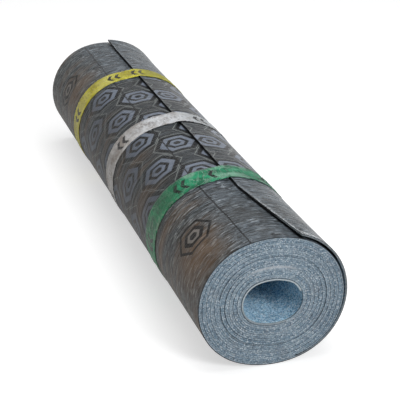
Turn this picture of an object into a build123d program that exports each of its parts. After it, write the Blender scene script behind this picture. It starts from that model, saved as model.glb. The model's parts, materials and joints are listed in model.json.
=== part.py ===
from build123d import *
import os
from math import acos, atan2, cos, degrees, hypot, radians, sin, sqrt

os.makedirs("parts", exist_ok=True)

# Frame: X along the roll with the open flap end at +X, Y across it, Z up.
# Every section is drawn on a YZ plane, so sketch x is Y and sketch y is Z.
# Angles are the direction of a turn's surface in degrees up from +Y, and grow by 360 a turn.

# Sheet
sheet_width = 1000.0        # one metre wide, so the roll is one metre long
turn_pitch = 3.0            # sheet thickness with its granules, and so the spacing of the turns

# Sag of the roll: each turn is four arcs, about two centres at the sides and two below and above
side_centre = 12.3          # side arcs' centres from the roll's middle
crown_centre = 37.6         # top and bottom arcs' centres from the roll's middle
inner_side_radius = 30.3    # first turn's inside radius on the right

# Ends of the sheet
inner_end = 20.0            # where the sheet starts inside the bore
whole_turns = 22            # turns up to the one that the free edge lies on
free_edge = 84.5            # the free edge lies just right of the top

# Outermost turn where it stands off the one below
lift_start = -65.0          # it leaves the turn below here, low on the right
slot_below = 0.25           # the gap's inner wall below the line between two turns
slot_above = 0.25           # the gap's outer wall above that line before any lift
rest_lift = 0.35            # gain in radius between the two ends, where the tapes hold it
far_lift = 1.5              # gain in radius at the far end
middle_lift = 0.9           # gain in radius where the near end opens faster
near_lift = 2.1             # gain in radius at the near end
middle_edge = 79.0          # free edge's direction where the near end opens faster
near_edge = 72.0            # free edge's direction at the near end
far_open_length = 70.0      # length of the far end that opens
near_open_start = 320.0     # the near end opens from here
near_open_middle = 410.0    # and faster from here

# Turns on both ends: every second one lies back a little
recess_count = 10
recess_angle = 352.0        # a little less than one turn
recess_margin = 8.0         # kept from the sheet's inner end and from the gap
recess_depth = 0.8
deep_recess = 5             # the one half way out lies further back
deep_recess_depth = 1.8

# Tapes: closed bands that hold the free edge down
tape_thickness = 0.4
tape_width = 50.0
yellow_tape_x = -270.0
white_tape_x = -5.0
green_tape_x = 258.0

# Derived: the four centres are the corners of a parallelogram whose two side lengths
# differ by half the pitch, so that every turn stands one pitch outside the last
half_length = sheet_width / 2
quarter_pitch = turn_pitch / 4
crown_shift = -quarter_pitch * sqrt(1 + crown_centre**2 / (side_centre**2 - quarter_pitch**2))
long_side = hypot(side_centre - crown_shift, crown_centre)
short_side = hypot(side_centre + crown_shift, crown_centre)
first_corner = degrees(atan2(crown_centre, side_centre - crown_shift))
second_corner = degrees(atan2(crown_centre, -side_centre - crown_shift))
centres = [
    Vector(side_centre, 0),
    Vector(crown_shift, -crown_centre),
    Vector(-side_centre, 0),
    Vector(-crown_shift, crown_centre),
]
quarter_gains = [0.0, long_side, long_side - short_side, 2 * long_side - short_side]
outer_end = free_edge + 360 * whole_turns
outer_lift_start = lift_start + 360 * whole_turns
lift_direction = Vector(cos(radians(lift_start)), sin(radians(lift_start)))
first_recess = inner_end + 360 + recess_margin
last_recess = outer_lift_start - 360 - recess_margin - recess_angle
recess_spacing = (last_recess - first_recess) / (recess_count - 1)


def corner_angle(index):
    base = second_corner - 180 if index % 2 == 0 else first_corner
    return base + 180 * (index // 2)


def arc_index(angle):
    pair = int((angle - second_corner + 180) // 180) * 2
    return pair + 1 if angle >= corner_angle(pair + 1) else pair


def arc_data(index, offset, lift):
    centre = centres[index % 4] - lift_direction * lift
    radius = inner_side_radius + turn_pitch * (index // 4) + quarter_gains[index % 4] + offset + lift
    return centre, radius


def spiral_point(angle, offset, lift=0.0):
    centre, radius = arc_data(arc_index(angle), offset, lift)
    return centre + Vector(cos(radians(angle)), sin(radians(angle))) * radius


def spiral_arcs(start, end, offset, lift=0.0):
    for index in range(arc_index(start), arc_index(end) + 1):
        arc_start = max(start, corner_angle(index))
        arc_end = min(end, corner_angle(index + 1))
        if arc_end > arc_start:
            centre, radius = arc_data(index, offset, lift)
            CenterArc(centre, radius, arc_start, arc_end - arc_start)


def tangent_angle(point, index, offset):
    # Where a straight line from the point touches the circle of one arc
    centre, radius = arc_data(index, offset, 0.0)
    reach = point - centre
    return degrees(atan2(reach.Y, reach.X)) + degrees(acos(radius / reach.length)) + 360 * (whole_turns - 1)


def landing_angle(point, offset):
    # Where that line comes down on the turn beside the free edge, on the arc that it meets first
    index = arc_index(outer_end - 360)
    while tangent_angle(point, index, offset) > corner_angle(index + 1):
        index += 1
    return tangent_angle(point, index, offset)


def band_lines(start, end):
    spiral_arcs(start, end, 0.0)
    Line(spiral_point(start, 0.0), spiral_point(start, turn_pitch))
    spiral_arcs(start, end, turn_pitch)
    Line(spiral_point(end, 0.0), spiral_point(end, turn_pitch))


def loose_lines(lift, edge_angle):
    Line(
        spiral_point(outer_lift_start, slot_above, lift),
        spiral_point(outer_lift_start, turn_pitch, lift),
    )
    spiral_arcs(outer_lift_start, edge_angle, turn_pitch, lift)
    Line(spiral_point(edge_angle, turn_pitch, lift), spiral_point(edge_angle, slot_above, lift))
    spiral_arcs(outer_lift_start, edge_angle, slot_above, lift)


def tape_lines(offset):
    edge_corner = spiral_point(outer_end, offset, rest_lift)
    landing = landing_angle(edge_corner, offset)
    spiral_arcs(landing, outer_lift_start, offset)
    spiral_arcs(outer_lift_start, outer_end, offset, rest_lift)
    Line(edge_corner, spiral_point(landing, offset))


with BuildPart() as felt_roll:
    # One turned solid: the outline runs round the roll to where the outermost turn stands
    # off, steps down into the gap below it and follows that gap to the free edge
    with BuildSketch(Plane.YZ.offset(-half_length)):
        with BuildLine():
            spiral_arcs(outer_end - 360, outer_lift_start, turn_pitch)
            Line(spiral_point(outer_lift_start, turn_pitch), spiral_point(outer_lift_start, -slot_below))
            spiral_arcs(outer_lift_start, outer_end, -slot_below)
            Line(spiral_point(outer_end, -slot_below), spiral_point(outer_end - 360, turn_pitch))
        make_face()
        with BuildLine():
            spiral_arcs(inner_end, inner_end + 360, 0.0)
            Line(spiral_point(inner_end + 360, 0.0), spiral_point(inner_end, 0.0))
        make_face(mode=Mode.SUBTRACT)
    extrude(amount=sheet_width)

    # Loose part of the outermost turn, from one station along the roll to the next
    stations = [
        (-half_length, far_lift, free_edge),
        (far_open_length - half_length, rest_lift, free_edge),
        (near_open_start, rest_lift, free_edge),
        (near_open_middle, middle_lift, middle_edge),
        (half_length, near_lift, near_edge),
    ]
    for far_station, near_station in zip(stations[:-1], stations[1:]):
        for station_x, lift, edge in (far_station, near_station):
            with BuildSketch(Plane.YZ.offset(station_x)):
                with BuildLine():
                    loose_lines(lift, edge + 360 * whole_turns)
                make_face()
        loft(ruled=True)

    # Turns on both ends
    for recess in range(recess_count):
        recess_start = first_recess + recess * recess_spacing
        depth = deep_recess_depth if recess == deep_recess else recess_depth
        with BuildSketch(Plane.YZ.offset(half_length), Plane.YZ.offset(depth - half_length)):
            with BuildLine():
                band_lines(recess_start, recess_start + recess_angle)
            make_face()
        extrude(amount=-depth, mode=Mode.SUBTRACT)

with BuildPart() as yellow_tape:
    with BuildSketch(Plane.YZ.offset(yellow_tape_x)):
        with BuildLine():
            tape_lines(turn_pitch + tape_thickness)
        make_face()
        with BuildLine():
            tape_lines(turn_pitch)
        make_face(mode=Mode.SUBTRACT)
    extrude(amount=tape_width / 2, both=True)

with BuildPart() as white_tape:
    with BuildSketch(Plane.YZ.offset(white_tape_x)):
        with BuildLine():
            tape_lines(turn_pitch + tape_thickness)
        make_face()
        with BuildLine():
            tape_lines(turn_pitch)
        make_face(mode=Mode.SUBTRACT)
    extrude(amount=tape_width / 2, both=True)

with BuildPart() as green_tape:
    with BuildSketch(Plane.YZ.offset(green_tape_x)):
        with BuildLine():
            tape_lines(turn_pitch + tape_thickness)
        make_face()
        with BuildLine():
            tape_lines(turn_pitch)
        make_face(mode=Mode.SUBTRACT)
    extrude(amount=tape_width / 2, both=True)

# Stand the whole on Z = 0 with its box centred on the origin
pieces = {
    "felt_roll": felt_roll.part,
    "yellow_tape": yellow_tape.part,
    "white_tape": white_tape.part,
    "green_tape": green_tape.part,
}
whole_box = Compound(children=[Compound(piece.wrapped) for piece in pieces.values()]).bounding_box()
to_origin = Location((-whole_box.center().X, -whole_box.center().Y, -whole_box.min.Z))
for piece_name, piece in pieces.items():
    placed = piece.moved(to_origin)
    placed.label = piece_name
    export_step(placed, f"parts/{piece_name}.step")
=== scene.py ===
import bpy
import json
import math
import numpy as np
from mathutils import Matrix, Vector, noise
from types import SimpleNamespace

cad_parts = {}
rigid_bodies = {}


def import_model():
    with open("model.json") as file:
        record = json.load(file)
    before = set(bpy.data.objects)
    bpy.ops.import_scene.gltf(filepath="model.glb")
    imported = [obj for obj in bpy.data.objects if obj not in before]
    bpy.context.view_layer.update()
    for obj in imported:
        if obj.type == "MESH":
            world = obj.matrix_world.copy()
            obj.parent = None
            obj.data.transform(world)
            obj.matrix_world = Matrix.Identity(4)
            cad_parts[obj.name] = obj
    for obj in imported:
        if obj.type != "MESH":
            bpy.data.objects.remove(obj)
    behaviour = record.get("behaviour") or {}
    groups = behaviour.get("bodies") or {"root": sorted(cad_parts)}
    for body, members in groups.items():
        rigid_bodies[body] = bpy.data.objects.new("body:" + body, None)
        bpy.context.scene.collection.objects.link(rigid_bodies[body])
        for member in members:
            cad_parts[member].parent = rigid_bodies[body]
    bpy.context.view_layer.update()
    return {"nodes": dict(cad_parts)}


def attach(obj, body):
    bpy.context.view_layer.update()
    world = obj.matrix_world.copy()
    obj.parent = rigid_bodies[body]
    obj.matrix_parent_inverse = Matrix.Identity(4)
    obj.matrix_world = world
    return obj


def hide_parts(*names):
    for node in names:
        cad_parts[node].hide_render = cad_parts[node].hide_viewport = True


for stale in list(bpy.data.objects):
    bpy.data.objects.remove(stale)

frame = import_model()
cad_nodes = frame["nodes"]
scene = bpy.context.scene

# Everything is in metres, and angles on the roll are degrees up from +Y round its middle.
# X runs along the roll, with its near end at +X, Y goes across it and Z is up.

# The roll's section: a spiral of four arcs a turn, about two centres at the sides and two above and below
TURN_PITCH = 0.003
SIDE_CENTRE = 0.0123
CROWN_CENTRE = 0.0376
INNER_SIDE_RADIUS = 0.0303
WHOLE_TURNS = 22
FREE_EDGE = 84.5
MIDDLE_Y = -0.00116
MIDDLE_Z = 0.10098
HALF_LENGTH = 0.5
OUTSIDE_RADIUS = 0.104      # mean, for lengths round the outside
END_DEPTH = 0.0022          # the turns lie back by less than this on both ends

# The loose part of the outermost turn: what it keeps under the tapes and gains between stations along X
LIFT_START = -65.0
REST_LIFT = 0.00035
FREE_EDGE_Y = 0.0107
FAR_OPENING = (-0.43, -0.50)
NEAR_OPENING = (0.32, 0.41)
NEAR_TIP = (0.41, 0.50)
LIFT_GAINS = ((FAR_OPENING, 0.00115), (NEAR_OPENING, 0.00055), (NEAR_TIP, 0.0012))
EDGE_GAINS = ((NEAR_OPENING, 0.0130), (NEAR_TIP, 0.0161))
LOOSE_TOP = 87.5            # everything loose is right of this direction from the lower centre
UPPER_HALF = 0.05           # height over the roll's middle from which the edge and crease are drawn

# Fine crease along the roll, left of the free edge
CREASE_Y_FAR = -0.0405
CREASE_Y_NEAR = -0.0345
CREASE_HALF_WIDTH = 0.0008

# Granules and ripples
GRANULE_SCALE = 640.0
RIPPLE_STRETCH = 0.17       # lengths round the roll count for this much, which draws the ripples out
RIPPLE_BEND = 0.0045

# Cut ends, counted in turns from the bore
# Turns of the painted highlight and of the painted shadow at a step in the ends
STEP_HIGHLIGHT_TURN = 6.9
STEP_SHADOW_TURN = 9.0

# Generic print: nested hexagons in a half-drop layout between the outer tapes, and single ones near the ends
PRINT_START = -0.237
PRINT_END = 0.229
PRINT_SOFT = 0.001
HEXAGON_SPACING = 0.124
HEXAGONS_AROUND = 6
HEXAGON_SPACING_AROUND = 2 * math.pi * OUTSIDE_RADIUS / HEXAGONS_AROUND
HEXAGON_START_X = 30.0 * HEXAGON_SPACING + 0.02         # whole spacings keep these values above 0
HEXAGON_START_ARC = 10.0 * HEXAGON_SPACING_AROUND + 0.022
LOOSE_PRINT_SHIFT = 0.052
DARK_RADIUS = 0.0342
PALE_RINGS = ((0.0060, 0.0125), (0.0185, 0.0275))
OUTLINE_RING = (0.0370, 0.0383)
LONE_HEXAGONS = ((0.395, -0.094), (-0.385, -0.122), (0.395, 0.180), (-0.385, 0.150))    # X and length round
LONE_DARK_RADIUS = 0.0182
LONE_DARK_RING = (0.0255, 0.0300)
LONE_PALE_RING = (0.0065, 0.0115)

# Painted warm reflection on the left side, as brown patches, with its thickest spot near the near end
WARM_REFLECTION_SPOT_X = 0.435
WARM_REFLECTION_SPOT_ARC = -0.096      # length round the outside from the top
WARM_REFLECTION_SPOT_RADIUS = 0.095
WARM_REFLECTION_SPOT_CORE = 0.020

# Tapes: bands of thin plastic that stand clear of the felt
BAND_COLUMNS = 760
BAND_ROWS = 18
BAND_THICKNESS = 0.00018
BAND_CLEAR = 0.00042
BAND_LEAST_CLEAR = 0.00022
FLOOR_CLEAR = 0.0001
BAND_WANDER = 0.0022
BAND_WIDTH_CHANGE = 0.0016
BAND_EDGE_UNEVEN = 0.0009
WRINKLE_HEIGHT = 0.0010
CRINKLE_HEIGHT = 0.0003
CURL_HEIGHT = 0.0004
CHEVRON_SPACING = 0.104
CHEVRON_PLACES = (0.020, 0.034)
CHEVRON_LEAN = 0.022
DASH_START = 0.052
DASH_SPACING = 0.0065

# Stage
FLOOR_HALF = 14
BACKDROP_RADIUS = 13.0
BACKDROP_HEIGHT = 2.8
BACKDROP_SIDES = 96

# Camera, fitted to the photograph's 400 pixels
PHOTO_WIDTH = 400.0
FOCAL_PIXELS = 1255.9
SENSOR_WIDTH = 36.0
CAMERA_YAW = math.radians(72.357)
CAMERA_PITCH = math.radians(23.232)
CAMERA_ROLL = math.radians(0.135)
CAMERA_PLACE = Vector((1.954, -0.5698 + MIDDLE_Y, 0.8235 + MIDDLE_Z))

# Derived values of the spiral
QUARTER_PITCH = TURN_PITCH / 4
CROWN_SHIFT = -QUARTER_PITCH * math.sqrt(1 + CROWN_CENTRE**2 / (SIDE_CENTRE**2 - QUARTER_PITCH**2))
LONG_SIDE = math.hypot(SIDE_CENTRE - CROWN_SHIFT, CROWN_CENTRE)
SHORT_SIDE = math.hypot(SIDE_CENTRE + CROWN_SHIFT, CROWN_CENTRE)
FIRST_CORNER = math.degrees(math.atan2(CROWN_CENTRE, SIDE_CENTRE - CROWN_SHIFT))
SECOND_CORNER = math.degrees(math.atan2(CROWN_CENTRE, -SIDE_CENTRE - CROWN_SHIFT))
CENTRES = [
    (SIDE_CENTRE, 0.0),
    (CROWN_SHIFT, -CROWN_CENTRE),
    (-SIDE_CENTRE, 0.0),
    (-CROWN_SHIFT, CROWN_CENTRE),
]
QUARTER_GAINS = [0.0, LONG_SIDE, LONG_SIDE - SHORT_SIDE, 2 * LONG_SIDE - SHORT_SIDE]
OUTER_END = FREE_EDGE + 360 * WHOLE_TURNS
OUTER_LIFT_START = LIFT_START + 360 * WHOLE_TURNS
LIFT_Y = math.cos(math.radians(LIFT_START))
LIFT_Z = math.sin(math.radians(LIFT_START))


def corner_angle(index):
    base = SECOND_CORNER - 180 if index % 2 == 0 else FIRST_CORNER
    return base + 180 * (index // 2)


def arc_index(angle):
    pair = int((angle - SECOND_CORNER + 180) // 180) * 2
    return pair + 1 if angle >= corner_angle(pair + 1) else pair


def arc_data(index, offset, lift=0.0):
    centre_y, centre_z = CENTRES[index % 4]
    radius = INNER_SIDE_RADIUS + TURN_PITCH * (index // 4) + QUARTER_GAINS[index % 4] + offset + lift
    return centre_y - LIFT_Y * lift, centre_z - LIFT_Z * lift, radius


def spiral_point(angle, offset, lift=0.0):
    centre_y, centre_z, radius = arc_data(arc_index(angle), offset, lift)
    direction = math.radians(angle)
    return centre_y + radius * math.cos(direction), centre_z + radius * math.sin(direction)


def srgb(red, green, blue):
    """A colour given as a screen shows it, 0 to 255, in the linear values that the shaders take."""
    def linear(level):
        share = level / 255
        return share / 12.92 if share <= 0.04045 else ((share + 0.055) / 1.055) ** 2.4
    return linear(red), linear(green), linear(blue)


class MaterialTree:
    """A material's node tree, with a short call for each kind of node that the materials here use."""

    def __init__(self, name):
        self.material = bpy.data.materials.new(name)
        self.material.use_nodes = True
        self.tree = self.material.node_tree
        self.tree.nodes.clear()
        output = self.node("ShaderNodeOutputMaterial")
        self.shader = self.node("ShaderNodeBsdfPrincipled")
        self.tree.links.new(self.shader.outputs[0], output.inputs[0])

    def node(self, kind, **properties):
        made = self.tree.nodes.new(kind)
        for name, value in properties.items():
            setattr(made, name, value)
        return made

    def put(self, socket, value):
        if isinstance(value, bpy.types.NodeSocket):
            self.tree.links.new(value, socket)
        elif isinstance(value, tuple) and len(value) == 3 and len(socket.default_value) == 4:
            socket.default_value = (*value, 1.0)
        else:
            socket.default_value = value

    def put_all(self, sockets, values):
        for socket, value in zip(sockets, values):
            self.put(socket, value)

    def math(self, operation, *values):
        made = self.node("ShaderNodeMath", operation=operation)
        self.put_all(made.inputs, values)
        return made.outputs[0]

    def chain(self, operation, values):
        result = values[0]
        for value in values[1:]:
            result = self.math(operation, result, value)
        return result

    def plus(self, *values):
        return self.chain("ADD", values)

    def minus(self, value, taken):
        return self.math("SUBTRACT", value, taken)

    def times(self, *values):
        return self.chain("MULTIPLY", values)

    def over(self, value, divisor):
        return self.math("DIVIDE", value, divisor)

    def highest(self, *values):
        return self.chain("MAXIMUM", values)

    def lowest(self, *values):
        return self.chain("MINIMUM", values)

    def absolute(self, value):
        return self.math("ABSOLUTE", value)

    def above(self, value, limit):
        return self.math("GREATER_THAN", value, limit)

    def inverse(self, mask):
        return self.minus(1.0, mask)

    def fraction(self, value):
        return self.math("FRACT", value)

    def vector_math(self, operation, *values):
        made = self.node("ShaderNodeVectorMath", operation=operation)
        self.put_all(made.inputs, values)
        return made.outputs["Value" if operation == "LENGTH" else "Vector"]

    def scaled(self, vector, scale):
        made = self.node("ShaderNodeVectorMath", operation="SCALE")
        self.put(made.inputs[0], vector)
        self.put(made.inputs["Scale"], scale)
        return made.outputs[0]

    def split(self, vector):
        made = self.node("ShaderNodeSeparateXYZ")
        self.put(made.inputs[0], vector)
        return made.outputs

    def join(self, x, y, z):
        made = self.node("ShaderNodeCombineXYZ")
        self.put_all(made.inputs, (x, y, z))
        return made.outputs[0]

    def ramp(self, value, start, end, low=0.0, high=1.0, smooth=True):
        """Runs from low to high as the value goes from start to end, and stays level beyond."""
        kind = "SMOOTHSTEP" if smooth else "LINEAR"
        made = self.node("ShaderNodeMapRange", interpolation_type=kind, clamp=True)
        self.put_all(made.inputs, (value, start, end, low, high))
        return made.outputs[0]

    def noise(self, vector, scale, detail=2.0, roughness=0.5, distortion=0.0, output="Fac"):
        made = self.node("ShaderNodeTexNoise")
        self.put(made.inputs["Vector"], vector)
        made.inputs["Scale"].default_value = scale
        made.inputs["Detail"].default_value = detail
        made.inputs["Roughness"].default_value = roughness
        made.inputs["Distortion"].default_value = distortion
        return made.outputs[output]

    def mix(self, mask, first, second, blend="MIX"):
        made = self.node("ShaderNodeMix", data_type="RGBA", blend_type=blend)
        self.put_all((made.inputs[0], made.inputs[6], made.inputs[7]), (mask, first, second))
        return made.outputs[2]

    def mix_number(self, mask, first, second):
        made = self.node("ShaderNodeMix", data_type="FLOAT")
        self.put_all((made.inputs[0], made.inputs[2], made.inputs[3]), (mask, first, second))
        return made.outputs[0]

    def mix_vector(self, mask, first, second):
        made = self.node("ShaderNodeMix", data_type="VECTOR")
        self.put_all((made.inputs[0], made.inputs[4], made.inputs[5]), (mask, first, second))
        return made.outputs[1]

    def paint(self, under, colour, mask, share=1.0):
        """Lays a colour over another where the mask is 1, at a share of its full strength."""
        return self.mix(mask if share == 1.0 else self.times(mask, share), under, colour)

    def darken(self, under, tint, mask):
        """Multiplies a colour by a tint where the mask is 1."""
        return self.mix(mask, under, self.mix(1.0, under, tint, "MULTIPLY"))

    def bump(self, height, strength, distance):
        made = self.node("ShaderNodeBump")
        self.put(made.inputs["Height"], height)
        made.inputs["Strength"].default_value = strength
        made.inputs["Distance"].default_value = distance
        return made.outputs[0]

    def finish(self, colour, roughness, normal, specular):
        self.put(self.shader.inputs["Base Color"], colour)
        self.put(self.shader.inputs["Roughness"], roughness)
        self.put(self.shader.inputs["Normal"], normal)
        self.shader.inputs["Specular IOR Level"].default_value = specular
        return self.material


def along_roll(tree, x, held, gains):
    """A value of the loose turn: as held under the tapes, plus what it gains from station to station."""
    value = held
    for (start, end), gain in gains:
        value = tree.plus(value, tree.ramp(x, start, end, 0.0, gain, smooth=False))
    return value


def sector_chooser(tree, across, up):
    """A function that picks a value by the arc that a point lies on, and a mask of the loose turn's side."""
    def past(angle, centre):
        # 1 beyond a line that leaves the centre in this direction
        along = tree.times(tree.minus(up, centre[1]), math.cos(math.radians(angle)))
        aside = tree.times(tree.minus(across, centre[0]), math.sin(math.radians(angle)))
        return tree.above(tree.minus(along, aside), 0.0)

    past_first = past(FIRST_CORNER, CENTRES[0])
    past_second = past(SECOND_CORNER, CENTRES[2])
    past_third = past(FIRST_CORNER + 180, CENTRES[2])
    past_last = past(SECOND_CORNER - 180, CENTRES[0])
    right = tree.times(past_last, tree.inverse(past_first))
    top = tree.times(past_first, tree.inverse(past_second))
    left = tree.times(past_second, tree.inverse(past_third))

    def choose(values):
        chosen = tree.mix_number(left, values[3], values[2])
        chosen = tree.mix_number(top, chosen, values[1])
        return tree.mix_number(right, chosen, values[0])

    loose_side = tree.highest(right, tree.times(top, tree.inverse(past(LOOSE_TOP, CENTRES[1]))))
    return choose, loose_side


def felt_place(tree):
    """Where a point of the felt lies from the roll's middle, and on which turn."""
    position = tree.node("ShaderNodeTexCoord").outputs["Object"]
    x, y, z = tree.split(position)
    across = tree.minus(y, MIDDLE_Y)
    up = tree.minus(z, MIDDLE_Z)
    choose, loose_side = sector_chooser(tree, across, up)

    # Distance beyond the first turn, and how far the direction turns away from where the lift starts
    beyond = []
    towards_lift = []
    for centre, gain in zip(CENTRES, QUARTER_GAINS):
        from_y = tree.minus(across, centre[0])
        from_z = tree.minus(up, centre[1])
        length = tree.vector_math("LENGTH", tree.join(from_y, from_z, 0.0))
        along = tree.plus(tree.times(from_y, LIFT_Y), tree.times(from_z, LIFT_Z))
        beyond.append(tree.minus(length, INNER_SIDE_RADIUS + gain))
        towards_lift.append(tree.over(along, length))
    turn = tree.over(choose(beyond), TURN_PITCH)

    # The loose part stands off by the lift, which is taken away to count its turn
    loose = tree.times(loose_side, tree.above(turn, WHOLE_TURNS + 0.02))
    lifted = tree.times(tree.inverse(choose(towards_lift)), along_roll(tree, x, REST_LIFT, LIFT_GAINS))
    turn_loose = tree.minus(turn, tree.over(lifted, TURN_PITCH))

    # The turn that the ends show wanders a little; the angle here is in radians from the top
    wander = tree.times(tree.minus(tree.noise(position, 26.0), 0.5), 0.16)
    wound = tree.plus(tree.mix_number(loose, turn, turn_loose), wander)
    angle = tree.math("ARCTAN2", across, up)
    return SimpleNamespace(
        position=position, x=x, across=across, up=up, loose=loose, turn=turn, turn_loose=turn_loose,
        wound=wound, in_turn=tree.fraction(wound), angle=angle, arc=tree.times(angle, OUTSIDE_RADIUS),
        off_middle=tree.absolute(across), upper=tree.above(up, UPPER_HALF),
    )


def felt_zones(tree, place):
    """Masks of the cut ends and of the mineral side, in the bore and under the loose turn."""
    normal_x, normal_y, _ = tree.split(tree.node("ShaderNodeNewGeometry").outputs["Normal"])
    flat = tree.ramp(tree.absolute(normal_x), 0.6, 0.75)
    at_end = tree.ramp(tree.absolute(place.x), HALF_LENGTH - END_DEPTH, HALF_LENGTH - END_DEPTH + 0.0003)
    recess = tree.times(at_end, tree.ramp(place.turn, 21.6, 21.65, 1.0, 0.0))
    cut_edge = tree.times(place.loose, tree.ramp(normal_y, -0.35, -0.6), place.upper)
    bore = tree.ramp(place.turn, 1.15, 1.2, 1.0, 0.0)
    inner_side = tree.ramp(place.turn_loose, WHOLE_TURNS + 0.4, WHOLE_TURNS + 0.5, 1.0, 0.0)
    under = tree.times(place.loose, inner_side)
    return SimpleNamespace(
        end=tree.highest(flat, recess, cut_edge),
        cut_edge=cut_edge,
        mineral=tree.times(tree.highest(bore, under), tree.inverse(flat)),
    )


def granules(tree, place):
    """Random values for each granule, a finer grit and broad blotches."""
    cells = tree.node("ShaderNodeTexVoronoi", feature="F1")
    tree.put(cells.inputs["Vector"], place.position)
    cells.inputs["Scale"].default_value = GRANULE_SCALE
    shade, speck, _ = tree.split(cells.outputs["Color"])
    return SimpleNamespace(
        shade=shade, speck=speck, distance=cells.outputs["Distance"],
        grit=tree.noise(place.position, 300.0, 3.0, 0.65),
        blotch=tree.noise(place.position, 42.0, 3.0, 0.6),
    )


def cut_colour(tree, place, grain):
    """Cut ends: granules, dark lines between the turns, worn turns, painted shade towards the sides, a
    painted step highlight and shadow, and a pale first turn round the bore.
    """
    colour = tree.mix(tree.ramp(grain.shade, 0.1, 0.9), srgb(105, 126, 140), srgb(151, 170, 183))
    colour = tree.paint(colour, srgb(204, 213, 220), tree.ramp(grain.speck, 0.72, 0.9))
    colour = tree.paint(colour, srgb(70, 84, 98), tree.ramp(grain.speck, 0.22, 0.06), 0.8)
    colour = tree.paint(colour, srgb(84, 118, 145), tree.ramp(grain.grit, 0.40, 0.66), 0.46)
    turn_number = tree.math("FLOOR", place.wound)
    turn_shade = tree.noise(tree.join(tree.times(turn_number, 1.7), 3.1, 0.0), 1.0, 0.0)
    colour = tree.paint(colour, srgb(176, 186, 192), tree.ramp(turn_shade, 0.3, 0.7), 0.28)
    colour = tree.paint(colour, srgb(118, 122, 128), tree.ramp(grain.blotch, 0.45, 0.75), 0.28)

    seam = tree.times(
        tree.ramp(place.in_turn, 0.73, 0.88),
        tree.ramp(grain.grit, 0.32, 0.66, 1.0, 0.35),
        tree.ramp(tree.noise(place.position, 16.0), 0.36, 0.6, 0.35, 1.0),
        # seams darker towards the left and right sides: painted shade
        tree.ramp(place.off_middle, 0.01, 0.07, 0.6, 1.0),
    )
    colour = tree.paint(colour, srgb(40, 50, 60), seam, 0.92)
    # Painted shade: the ends darker towards their left and right sides
    colour = tree.paint(colour, srgb(72, 86, 100), tree.ramp(place.off_middle, 0.04, 0.10), 0.16)
    colour = tree.paint(colour, srgb(108, 107, 103), place.loose, 0.62)

    # The film's edge shows dark round the outside, widened by a painted shadow beside it
    rim_and_shadow = tree.times(
        tree.ramp(place.turn, WHOLE_TURNS - 0.52, WHOLE_TURNS - 0.34),
        tree.inverse(place.loose),
    )
    loose_rim_and_shadow = tree.times(place.loose, tree.ramp(place.turn_loose, WHOLE_TURNS + 0.62, WHOLE_TURNS + 0.8))
    colour = tree.paint(colour, srgb(40, 42, 46), tree.highest(rim_and_shadow, loose_rim_and_shadow))

    # A painted highlight on a step's turn above the bore, a painted shadow of the step on the left, and a
    # dark line round the pale first turn
    high = tree.inverse(tree.ramp(tree.absolute(place.angle), 0.35, 0.85))
    painted_step_highlight = tree.times(tree.ramp(tree.absolute(tree.minus(place.wound, STEP_HIGHLIGHT_TURN)), 0.75, 0.35), high)
    colour = tree.paint(colour, srgb(196, 198, 202), painted_step_highlight, 0.55)
    painted_step_shadow = tree.ramp(tree.absolute(tree.minus(place.wound, STEP_SHADOW_TURN)), 0.30, 0.12)
    painted_step_shadow = tree.times(painted_step_shadow, tree.ramp(place.across, 0.01, -0.02))
    colour = tree.paint(colour, srgb(48, 56, 64), painted_step_shadow, 0.6)
    colour = tree.paint(colour, srgb(38, 46, 54), tree.ramp(place.turn, 1.15, 0.85), 0.65)
    first_turn = tree.times(tree.ramp(place.turn, 0.80, 0.55), tree.ramp(place.up, -0.02, 0.02, 0.45, 0.85))
    return tree.paint(colour, srgb(190, 200, 204), first_turn)


def mineral_colour(tree, grain):
    """Blue mineral side, as it shows in the bore."""
    colour = tree.mix(tree.ramp(grain.shade, 0.1, 0.9), srgb(124, 169, 200), srgb(202, 234, 249))
    colour = tree.paint(colour, srgb(226, 238, 244), tree.ramp(grain.speck, 0.80, 0.92))
    colour = tree.paint(colour, srgb(70, 104, 134), tree.ramp(grain.speck, 0.20, 0.06), 0.7)
    return tree.paint(colour, srgb(104, 134, 162), tree.ramp(grain.blotch, 0.4, 0.7), 0.35)


def film_streaks(tree, place):
    """Patterns of the film's ripples, which run round the roll."""
    bend = tree.noise(place.position, 30.0, output="Color")
    along = tree.join(place.x, tree.times(place.arc, RIPPLE_STRETCH), 0.0)
    bend = tree.scaled(tree.vector_math("SUBTRACT", bend, (0.5, 0.5, 0.5)), RIPPLE_BEND)
    along = tree.vector_math("ADD", along, bend)

    def layer(depth, scale, detail, roughness):
        return tree.noise(tree.vector_math("ADD", along, (0.0, 0.0, depth)), scale, detail, roughness)

    return SimpleNamespace(
        fine=tree.noise(along, 330.0, 3.0, 0.6),
        broad=tree.noise(along, 120.0, 3.0, 0.6),
        hair=layer(9.0, 950.0, 2.0, 0.6),
        glint_pattern=layer(4.0, 270.0, 4.0, 0.68),
        cloud=tree.noise(along, 34.0, 3.0, 0.6),
        worn=tree.ramp(tree.noise(along, 90.0, 3.0, 0.7), 0.30, 0.48, 0.45, 1.0),
    )


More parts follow.
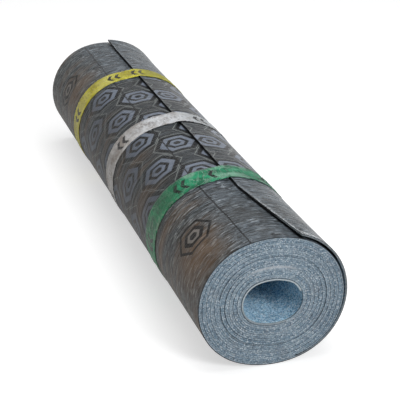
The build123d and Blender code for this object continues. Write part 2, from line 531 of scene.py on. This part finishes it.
def film_colour(tree, place, streaks):
    """Dark film with blue-grey streaks that are partly painted sheen, and pale specks that are painted
    highlights, fainter under the print.
    """
    # Blue-grey streaks: partly the film's own streaking, partly painted sheen off its ripples
    colour = tree.mix(tree.ramp(streaks.fine, 0.42, 0.58), srgb(38, 42, 45), srgb(101, 111, 119))
    colour = tree.paint(colour, srgb(114, 124, 133), tree.ramp(streaks.broad, 0.5, 0.66), 0.45)
    colour = tree.paint(colour, srgb(27, 29, 32), tree.ramp(streaks.hair, 0.60, 0.40), 0.50)
    # Painted highlights: pale specks where the ripples would catch the light
    unprinted = tree.ramp(tree.absolute(tree.plus(place.x, 0.004)), 0.22, 0.26, 0.35, 1.0)
    painted_glints = tree.times(tree.ramp(streaks.glint_pattern, 0.55, 0.66), 0.75, unprinted)
    colour = tree.paint(colour, srgb(176, 186, 194), painted_glints)
    dull_tone_and_shade = tree.ramp(tree.noise(place.position, 8.0, 3.0, 0.55), 0.42, 0.66)
    return tree.paint(colour, srgb(58, 58, 56), dull_tone_and_shade, 0.4)


def with_left_reflection_and_shade(tree, colour, place, grain, streaks):
    """Painted warm reflection on the left side: brown patches streaked by the ripples, with one thick spot,
    and a painted warm shade.
    """
    from_spot = tree.join(tree.minus(place.x, WARM_REFLECTION_SPOT_X), tree.minus(place.arc, WARM_REFLECTION_SPOT_ARC), 0.0)
    spot = tree.ramp(tree.vector_math("LENGTH", from_spot), WARM_REFLECTION_SPOT_RADIUS, WARM_REFLECTION_SPOT_CORE)
    spot = tree.times(spot, tree.ramp(grain.blotch, 0.30, 0.55, 0.5, 1.0), 0.54)
    streaked = tree.times(tree.ramp(streaks.cloud, 0.42, 0.66), 0.42)
    left_painted_light = tree.times(tree.highest(streaked, spot), tree.ramp(place.across, -0.03, -0.085))
    # Painted reflection of warm surroundings, as brown patches
    colour = tree.paint(colour, srgb(126, 102, 78), left_painted_light)
    # Painted warm shade down the left side
    return tree.darken(colour, (0.96, 0.82, 0.66), tree.ramp(place.across, -0.02, -0.10, 0.0, 0.6))


def hexagon_distance(tree, aside, along):
    """How large a hexagon round its middle reaches this far, with two of its sides square to X."""
    # The other sides are turned by 60 degrees, whose cosine and sine are 0.5 and 0.866
    return tree.highest(aside, tree.plus(tree.times(aside, 0.5), tree.times(along, 0.866)))


def inside(tree, distance, radius, soft=0.0004):
    return tree.ramp(distance, radius - soft, radius + soft, 1.0, 0.0)


def ring(tree, distance, radii, soft=0.0006):
    inner, outer = radii
    return tree.times(tree.ramp(distance, inner - soft, inner + soft), inside(tree, distance, outer, soft))


def printed_film(tree, colour, place, streaks):
    """Nested hexagons between the outer tapes, on a darker ground, worn and fading down the left side."""
    x = tree.plus(place.x, HEXAGON_START_X, tree.times(place.loose, LOOSE_PRINT_SHIFT))
    arc = tree.plus(place.arc, HEXAGON_START_ARC)

    def from_middle(value, offset, spacing):
        cell = tree.fraction(tree.over(tree.plus(value, offset), spacing))
        return tree.times(tree.absolute(tree.minus(cell, 0.5)), spacing)

    def row(share):
        aside = from_middle(x, HEXAGON_SPACING * share, HEXAGON_SPACING)
        along = from_middle(arc, HEXAGON_SPACING_AROUND * share, HEXAGON_SPACING_AROUND)
        return hexagon_distance(tree, aside, along)

    distance = tree.lowest(row(0.0), row(0.5))
    printed = tree.times(
        tree.ramp(place.x, PRINT_START - PRINT_SOFT, PRINT_START + PRINT_SOFT),
        inside(tree, place.x, PRINT_END, PRINT_SOFT),
        streaks.worn,
        tree.ramp(place.across, -0.055, -0.095, 1.0, 0.5),
    )
    dark = inside(tree, distance, DARK_RADIUS)
    pale = tree.highest(*[ring(tree, distance, radii) for radii in PALE_RINGS])
    outline = ring(tree, distance, OUTLINE_RING, 0.0004)
    colour = tree.paint(colour, srgb(32, 34, 36), printed, 0.72)
    colour = tree.paint(colour, srgb(12, 13, 15), tree.times(dark, printed), 0.94)
    colour = tree.paint(colour, srgb(122, 131, 146), tree.times(pale, printed), 0.82)
    return tree.paint(colour, srgb(152, 157, 154), tree.times(outline, printed), 0.7)


def lone_hexagons(tree, colour, place, streaks):
    """Single hexagons near both ends."""
    distances = []
    for middle_x, middle_arc in LONE_HEXAGONS:
        aside = tree.absolute(tree.minus(place.x, middle_x))
        along = tree.absolute(tree.minus(place.arc, middle_arc))
        distances.append(hexagon_distance(tree, aside, along))
    distance = tree.lowest(*distances)
    dark = tree.highest(ring(tree, distance, LONE_DARK_RING), inside(tree, distance, LONE_DARK_RADIUS))
    colour = tree.paint(colour, srgb(20, 19, 19), tree.times(dark, streaks.worn), 0.94)
    pale = tree.times(ring(tree, distance, LONE_PALE_RING), streaks.worn)
    return tree.paint(colour, srgb(132, 126, 120), pale, 0.8)


def free_edge_shadow_and_fray(tree, colour, place, grain):
    """Bitumen bleed and painted shadow on the turn below the free edge, and granules that show along the
    frayed edge itself.
    """
    ragged = tree.noise(tree.join(place.x, 0.0, 0.0), 40.0, 3.0)
    ragged = tree.times(tree.minus(ragged, 0.5), 0.0025)
    edge = along_roll(tree, place.x, FREE_EDGE_Y, EDGE_GAINS)
    before_edge = tree.plus(tree.minus(edge, place.across), ragged)
    edge_shadow_and_bitumen = tree.times(
        tree.ramp(before_edge, 0.0038, 0.0012),
        tree.above(before_edge, -0.004),
        tree.inverse(place.loose),
        place.upper,
    )
    # Bitumen bleed and painted shadow under the lap edge
    colour = tree.paint(colour, srgb(16, 16, 17), edge_shadow_and_bitumen, 0.9)
    fray = tree.times(
        tree.ramp(before_edge, -0.0075, -0.0010),
        tree.ramp(place.x, 0.28, 0.44, 0.1, 0.95),
        tree.ramp(grain.speck, 0.45, 0.60),
        place.loose,
        place.upper,
    )
    tip = tree.times(
        tree.ramp(place.x, 0.484, 0.495),
        tree.ramp(place.across, 0.090, 0.050),
        tree.ramp(grain.speck, 0.35, 0.55),
        place.loose,
    )
    return tree.paint(colour, srgb(194, 200, 204), tree.highest(fray, tip))


def crease_mask(tree, place):
    middle = tree.mix_number(tree.ramp(place.x, 0.25, 0.50), CREASE_Y_FAR, CREASE_Y_NEAR)
    wave = tree.times(tree.minus(tree.noise(tree.join(place.x, 0.0, 0.0), 14.0), 0.5), 0.003)
    aside = tree.absolute(tree.minus(place.across, tree.plus(middle, wave)))
    return tree.times(inside(tree, aside, CREASE_HALF_WIDTH), place.upper)


def felt_relief(tree, place, grain, streaks, crease, grainy):
    """Granules and lines between the turns on the grainy sides, ripples and the crease on the film."""
    granule_height = tree.plus(tree.times(grain.distance, -1.0), tree.times(grain.grit, 0.6))
    line = tree.times(tree.ramp(place.in_turn, 0.84, 0.97), 0.7)
    swell = tree.times(tree.noise(place.position, 30.0, 3.0, 0.55), 2.0)
    film_height = tree.plus(tree.times(streaks.fine, 0.7), tree.times(streaks.broad, 1.5), swell)
    film_normal = tree.bump(tree.minus(film_height, tree.times(crease, 1.2)), 1.0, 0.0022)
    grain_normal = tree.bump(tree.minus(granule_height, line), 0.7, 0.0009)
    return tree.mix_vector(grainy, film_normal, grain_normal)


def felt_material():
    tree = MaterialTree("felt")
    place = felt_place(tree)
    zones = felt_zones(tree, place)
    grain = granules(tree, place)
    streaks = film_streaks(tree, place)
    crease = crease_mask(tree, place)

    film = film_colour(tree, place, streaks)
    film = with_left_reflection_and_shade(tree, film, place, grain, streaks)
    film = printed_film(tree, film, place, streaks)
    film = lone_hexagons(tree, film, place, streaks)
    film = free_edge_shadow_and_fray(tree, film, place, grain)
    # The crease drawn near black: painted shade in the fold
    film = tree.paint(film, srgb(14, 14, 15), crease, 0.9)

    cut = cut_colour(tree, place, grain)
    # Painted shadow on the loose turn's cut edge, away from the near end
    painted_lap_shadow = tree.times(zones.cut_edge, tree.ramp(place.x, 0.46, 0.42))
    cut = tree.paint(cut, srgb(30, 31, 33), painted_lap_shadow, 0.92)
    colour = tree.mix(zones.mineral, film, mineral_colour(tree, grain))
    colour = tree.mix(zones.end, colour, cut)

    grainy = tree.highest(zones.end, zones.mineral)
    film_roughness = tree.mix_number(tree.ramp(streaks.broad, 0.3, 0.7), 0.24, 0.38)
    film_roughness = tree.plus(film_roughness, tree.ramp(place.across, -0.04, -0.10, 0.0, 0.22))
    roughness = tree.mix_number(grainy, film_roughness, 0.9)
    normal = felt_relief(tree, place, grain, streaks, crease, grainy)
    return tree.finish(colour, roughness, normal, 0.18)


def tape_wrinkles(tree, position, patch):
    """Sharp folds of thin plastic, most of them across the band."""
    def folds(stretch, scale, width):
        stretched = tree.vector_math("MULTIPLY", position, stretch)
        pattern = tree.noise(stretched, scale, 2.0, 0.5, 0.6)
        return tree.ramp(tree.absolute(tree.minus(pattern, 0.5)), width, 0.0)

    both = tree.highest(folds((0.45, 1.0, 1.0), 62.0, 0.030), folds((1.3, 0.6, 0.8), 34.0, 0.016))
    return tree.times(both, tree.ramp(patch, 0.40, 0.56, 0.35, 1.0))


def tape_print(tree, colour, position, mark, phase):
    """Generic chevrons in pairs with a dashed line between, in the tape's ink."""
    around, over, _ = tree.split(tree.node("ShaderNodeUVMap", uv_map="band").outputs[0])
    lean = tree.times(tree.absolute(tree.minus(over, 0.5)), CHEVRON_LEAN)
    along = tree.math("MODULO", tree.plus(around, phase), CHEVRON_SPACING)
    leaning = tree.plus(along, lean)

    def stroke(place):
        return tree.ramp(tree.absolute(tree.minus(leaning, place)), 0.0036, 0.0030, smooth=False)

    def strip(low, high, soft):
        return tree.times(tree.ramp(over, low, low + soft), tree.ramp(over, high - soft, high, 1.0, 0.0))

    worn = tree.ramp(tree.noise(position, 300.0), 0.32, 0.46, 0.55, 1.0)
    strokes = tree.highest(*[stroke(place) for place in CHEVRON_PLACES])
    chevrons = tree.times(strokes, strip(0.20, 0.80, 0.04), worn)
    colour = tree.paint(colour, mark, chevrons, 0.97)
    dashes = tree.above(tree.fraction(tree.over(along, DASH_SPACING)), 0.45)
    dashes = tree.times(dashes, tree.above(along, DASH_START), strip(0.40, 0.60, 0.03))
    return tree.paint(colour, mark, dashes, 0.22)


def tape_material(name, light, dark, mark, phase, left_painted_light, painted_glare_share):
    """Thin printed plastic: cloudy, wrinkled, with painted highlight patches, painted warm shade on the left
    side and painted shade on the right.
    """
    tree = MaterialTree(name)
    position = tree.node("ShaderNodeTexCoord").outputs["Object"]
    cloud = tree.noise(position, 45.0, 3.0, 0.6)
    fine = tree.noise(tree.vector_math("MULTIPLY", position, (0.35, 1.0, 1.0)), 330.0, 3.0, 0.6)
    patch = tree.noise(position, 17.0, 2.0, 0.6)
    painted_glare = tuple(level + (1.0 - level) * painted_glare_share for level in light)
    deep = tuple(level * 0.7 for level in dark)
    deeper = tuple(level * 0.62 for level in dark)
    folds = tape_wrinkles(tree, position, patch)

    colour = tree.mix(tree.ramp(cloud, 0.36, 0.64), dark, light)
    # Painted highlights: pale patches on the plastic
    colour = tree.paint(colour, painted_glare, tree.ramp(patch, 0.54, 0.62), 0.5)
    colour = tree.paint(colour, deep, tree.ramp(patch, 0.46, 0.36), 0.5)
    colour = tree.paint(colour, deeper, tree.ramp(fine, 0.42, 0.7), 0.25)
    # Painted highlights along the folds
    colour = tree.paint(colour, painted_glare, folds, 0.5)
    colour = tape_print(tree, colour, position, mark, phase)

    # Painted warm shade on the left, the same side as on the felt, and painted shade where it falls away to
    # the right
    y = tree.split(position)[1]
    left_warm_shade = tree.ramp(y, -0.03, -0.10)
    dull_tone_and_shade = tree.ramp(y, 0.0, 0.04)
    colour = tree.darken(colour, (0.80, 0.71, 0.60), tree.times(left_warm_shade, left_painted_light))
    colour = tree.darken(colour, (0.74, 0.76, 0.76), dull_tone_and_shade)
    roughness = tree.mix_number(cloud, 0.16, 0.30)
    roughness = tree.plus(roughness, tree.times(tree.highest(left_warm_shade, dull_tone_and_shade), 0.25))
    height = tree.plus(tree.times(cloud, 0.7), tree.times(fine, 0.25), tree.times(folds, 0.5))
    return tree.finish(colour, roughness, tree.bump(height, 0.8, 0.0016), 0.3)


def stage_material():
    """Pale and plain; what camera, glossy and transmission rays see is lifted to white, and it keeps its
    shadows.
    """
    tree = MaterialTree("stage")
    path = tree.node("ShaderNodeLightPath")
    seen = tree.highest(
        path.outputs["Is Camera Ray"],
        path.outputs["Is Glossy Ray"],
        path.outputs["Is Transmission Ray"],
    )
    # The lamps reach less far than the floor does, so it glows more far out
    reach = tree.vector_math("LENGTH", tree.node("ShaderNodeTexCoord").outputs["Object"])
    glow = tree.times(seen, tree.ramp(reach, 1.5, 6.0, 0.56, 0.84))
    tree.put(tree.shader.inputs["Base Color"], tree.mix(seen, (0.5, 0.5, 0.5), (0.60, 0.60, 0.60)))
    tree.put(tree.shader.inputs["Emission Color"], (1.0, 1.0, 1.0))
    tree.put(tree.shader.inputs["Emission Strength"], glow)
    tree.shader.inputs["Roughness"].default_value = 0.95
    tree.shader.inputs["Specular IOR Level"].default_value = 0.0
    return tree.material


def mesh_object(name, points, faces, material):
    mesh = bpy.data.meshes.new(name)
    mesh.from_pydata(points, [], faces)
    mesh.materials.append(material)
    made = bpy.data.objects.new(name, mesh)
    scene.collection.objects.link(made)
    return made


def tape_landing():
    """Where the tape's straight bridge over the free edge comes down, in degrees on the spiral."""
    edge_y, edge_z = spiral_point(OUTER_END, TURN_PITCH, REST_LIFT)
    centre_y, centre_z, radius = arc_data(arc_index(OUTER_END - 360), TURN_PITCH)
    reach_y, reach_z = edge_y - centre_y, edge_z - centre_z
    tangent = math.degrees(math.acos(radius / math.hypot(reach_y, reach_z)))
    return math.degrees(math.atan2(reach_z, reach_y)) + tangent + 360 * (WHOLE_TURNS - 1)


def tape_seat(count):
    """Points and outward normals round the tape's seat, evenly spaced, from the landing of its bridge on."""
    line = []
    for angle in np.linspace(tape_landing(), OUTER_END, 1400):
        line.append(spiral_point(angle, TURN_PITCH, REST_LIFT if angle >= OUTER_LIFT_START else 0.0))
    first, last = line[0], line[-1]
    for share in np.linspace(0, 1, 60)[1:]:
        line.append((last[0] + (first[0] - last[0]) * share, last[1] + (first[1] - last[1]) * share))
    line = np.array(line)
    reached = np.concatenate([[0], np.cumsum(np.hypot(*np.diff(line, axis=0).T))])
    girth = reached[-1]
    places = np.linspace(0, girth, count, endpoint=False)
    y = np.interp(places, reached, line[:, 0])
    z = np.interp(places, reached, line[:, 1])
    step_y = np.roll(y, -1) - np.roll(y, 1)
    step_z = np.roll(z, -1) - np.roll(z, 1)
    step = np.hypot(step_y, step_z)
    return y + MIDDLE_Y, z + MIDDLE_Z, step_z / step, -step_y / step, girth


def band_point(share, over, x_middle, width, seed):
    """Where a band's point lies along X and how far it stands off the felt, at a share of its way round.

    over runs from -1 at one edge of the band to 1 at the other.
    """
    angle = 2 * math.pi * share
    cosine, sine = math.cos(angle), math.sin(angle)

    def ripple(scale, depth, lean_y=0.0, lean_z=0.0):
        return noise.noise(Vector((cosine * scale + lean_y, sine * scale + lean_z, seed + depth)))

    middle = x_middle + BAND_WANDER * ripple(1.6, 0.0)
    half = width / 2 + BAND_WIDTH_CHANGE * ripple(2.3, 7.0)
    uneven = BAND_EDGE_UNEVEN * ripple(14.0, 16.0 if over > 0 else 11.0) * abs(over) ** 3
    folded = 0.45 + 0.55 * max(0.0, ripple(26.0, 3.0) + 0.35)
    ridge = max(0.0, 1.0 - abs(ripple(30.0, 20.0 + over * 0.9, over * 0.7, -over * 0.6)) * 5.0) ** 2
    crinkle = CRINKLE_HEIGHT * (ripple(75.0, 40.0 + over * 1.6, over * 1.2) + 0.5)
    curl = CURL_HEIGHT * max(0.0, abs(over) - 0.8) * 5 * max(0.0, ripple(9.0, 60.0 + over))
    clear = BAND_CLEAR + WRINKLE_HEIGHT * ridge * folded + crinkle + curl
    return middle + over * half + uneven, max(BAND_LEAST_CLEAR, clear)


def tape(name, node, x_middle, width, seed, material):
    """A wrinkled band round the felt, in place of a tape's plain solid."""
    seat_y, seat_z, normal_y, normal_z, girth = tape_seat(BAND_COLUMNS)
    points = []
    for column in range(BAND_COLUMNS):
        for row in range(BAND_ROWS + 1):
            over = row / BAND_ROWS * 2 - 1
            x, clear = band_point(column / BAND_COLUMNS, over, x_middle, width, seed)
            if normal_z[column] < 0:
                clear = min(clear, (seat_z[column] - FLOOR_CLEAR) / -normal_z[column])
            y = seat_y[column] + normal_y[column] * clear
            z = seat_z[column] + normal_z[column] * clear
            points.append((x, y, z))
    faces = []
    for column in range(BAND_COLUMNS):
        here = column * (BAND_ROWS + 1)
        after = (column + 1) % BAND_COLUMNS * (BAND_ROWS + 1)
        for row in range(BAND_ROWS):
            faces.append((here + row, after + row, after + row + 1, here + row + 1))

    band = mesh_object(name, points, faces, material)
    layer = band.data.uv_layers.new(name="band")
    for face in band.data.polygons:
        face.use_smooth = True
        closing = face.index // BAND_ROWS == BAND_COLUMNS - 1
        for loop in face.loop_indices:
            column, row = divmod(band.data.loops[loop].vertex_index, BAND_ROWS + 1)
            share = 1.0 if closing and column == 0 else column / BAND_COLUMNS
            layer.data[loop].uv = (share * girth, row / BAND_ROWS)
    thickness = band.modifiers.new("thickness", "SOLIDIFY")
    thickness.thickness = BAND_THICKNESS
    thickness.offset = 0.0
    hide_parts(node)
    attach(band, "root")


# Felt and tapes
cad_nodes["felt_roll"].data.materials[0] = felt_material()
yellow = tape_material(
    "yellow_film", light=srgb(200, 193, 36), dark=srgb(160, 150, 20), mark=srgb(12, 12, 8),
    phase=0.010, left_painted_light=0.25, painted_glare_share=0.14,
)
white = tape_material(
    "white_film", light=srgb(204, 207, 212), dark=srgb(156, 151, 148), mark=srgb(10, 10, 11),
    phase=0.052, left_painted_light=0.55, painted_glare_share=0.28,
)
green = tape_material(
    "green_film", light=srgb(36, 150, 106), dark=srgb(14, 94, 64), mark=srgb(6, 12, 10),
    phase=0.084, left_painted_light=0.90, painted_glare_share=0.28,
)
tape("yellow_band", "yellow_tape", -0.270, 0.046, 1.0, yellow)
tape("white_band", "white_tape", -0.005, 0.049, 2.0, white)
tape("green_band", "green_tape", 0.258, 0.051, 3.0, green)

# Floor
stage = stage_material()
floor_corners = [
    (-FLOOR_HALF, -FLOOR_HALF, 0),
    (FLOOR_HALF, -FLOOR_HALF, 0),
    (FLOOR_HALF, FLOOR_HALF, 0),
    (-FLOOR_HALF, FLOOR_HALF, 0),
]
floor = mesh_object("floor", floor_corners, [(0, 1, 2, 3)], stage)

# A low round backdrop far off, so that level views have a pale background too
backdrop_points = []
for height in (0.0, BACKDROP_HEIGHT):
    for side in range(BACKDROP_SIDES):
        angle = 2 * math.pi * side / BACKDROP_SIDES
        backdrop_points.append((BACKDROP_RADIUS * math.cos(angle), BACKDROP_RADIUS * math.sin(angle), height))
backdrop_faces = []
for side in range(BACKDROP_SIDES):
    beside = (side + 1) % BACKDROP_SIDES
    backdrop_faces.append((side, beside, BACKDROP_SIDES + beside, BACKDROP_SIDES + side))
backdrop = mesh_object("backdrop", backdrop_points, backdrop_faces, stage)

# Light
world = bpy.data.worlds.new("studio")
scene.world = world
world.use_nodes = True
world.node_tree.nodes.clear()
world_output = world.node_tree.nodes.new("ShaderNodeOutputWorld")
background = world.node_tree.nodes.new("ShaderNodeBackground")
background.inputs["Color"].default_value = (0.97, 0.985, 1.0, 1.0)
background.inputs["Strength"].default_value = 0.34
world.node_tree.links.new(background.outputs[0], world_output.inputs[0])


def lamp(name, place, target, size, level, colour):
    """A square lamp whose light at the target, face on, renders a colour at this share of what is written."""
    aim = Vector(target) - Vector(place)
    light = bpy.data.lights.new(name, "AREA")
    light.shape = "SQUARE"
    light.size = size
    light.energy = level * math.pi**2 * aim.length**2
    light.color = colour
    holder = bpy.data.objects.new(name, light)
    holder.location = place
    holder.rotation_euler = aim.to_track_quat("-Z", "Y").to_euler()
    scene.collection.objects.link(holder)


lamp("top", (-0.1, 0.10, 2.8), (0, 0, 0.1), size=2.4, level=0.62, colour=(1.0, 0.99, 0.98))
lamp("front", (2.95, 0.75, 1.90), (0.45, 0, 0.1), size=1.0, level=0.62, colour=(0.98, 0.99, 1.0))

# Camera
camera_data = bpy.data.cameras.new("camera")
camera_data.sensor_width = SENSOR_WIDTH
camera_data.sensor_fit = "HORIZONTAL"
camera_data.lens = SENSOR_WIDTH * FOCAL_PIXELS / PHOTO_WIDTH
camera_data.clip_start = 0.05
camera_data.clip_end = 60.0
back = Vector((
    math.sin(CAMERA_YAW) * math.cos(CAMERA_PITCH),
    -math.cos(CAMERA_YAW) * math.cos(CAMERA_PITCH),
    math.sin(CAMERA_PITCH),
))
level_right = Vector((math.cos(CAMERA_YAW), math.sin(CAMERA_YAW), 0.0))
level_up = back.cross(level_right)
right = math.cos(CAMERA_ROLL) * level_right + math.sin(CAMERA_ROLL) * level_up
up = -math.sin(CAMERA_ROLL) * level_right + math.cos(CAMERA_ROLL) * level_up
camera_frame = Matrix((right, up, back)).transposed().to_4x4()
camera_frame.translation = CAMERA_PLACE
camera = bpy.data.objects.new("camera", camera_data)
camera.matrix_world = camera_frame
scene.collection.objects.link(camera)
scene.camera = camera

scene.view_settings.view_transform = "Standard"
scene.view_settings.look = "None"
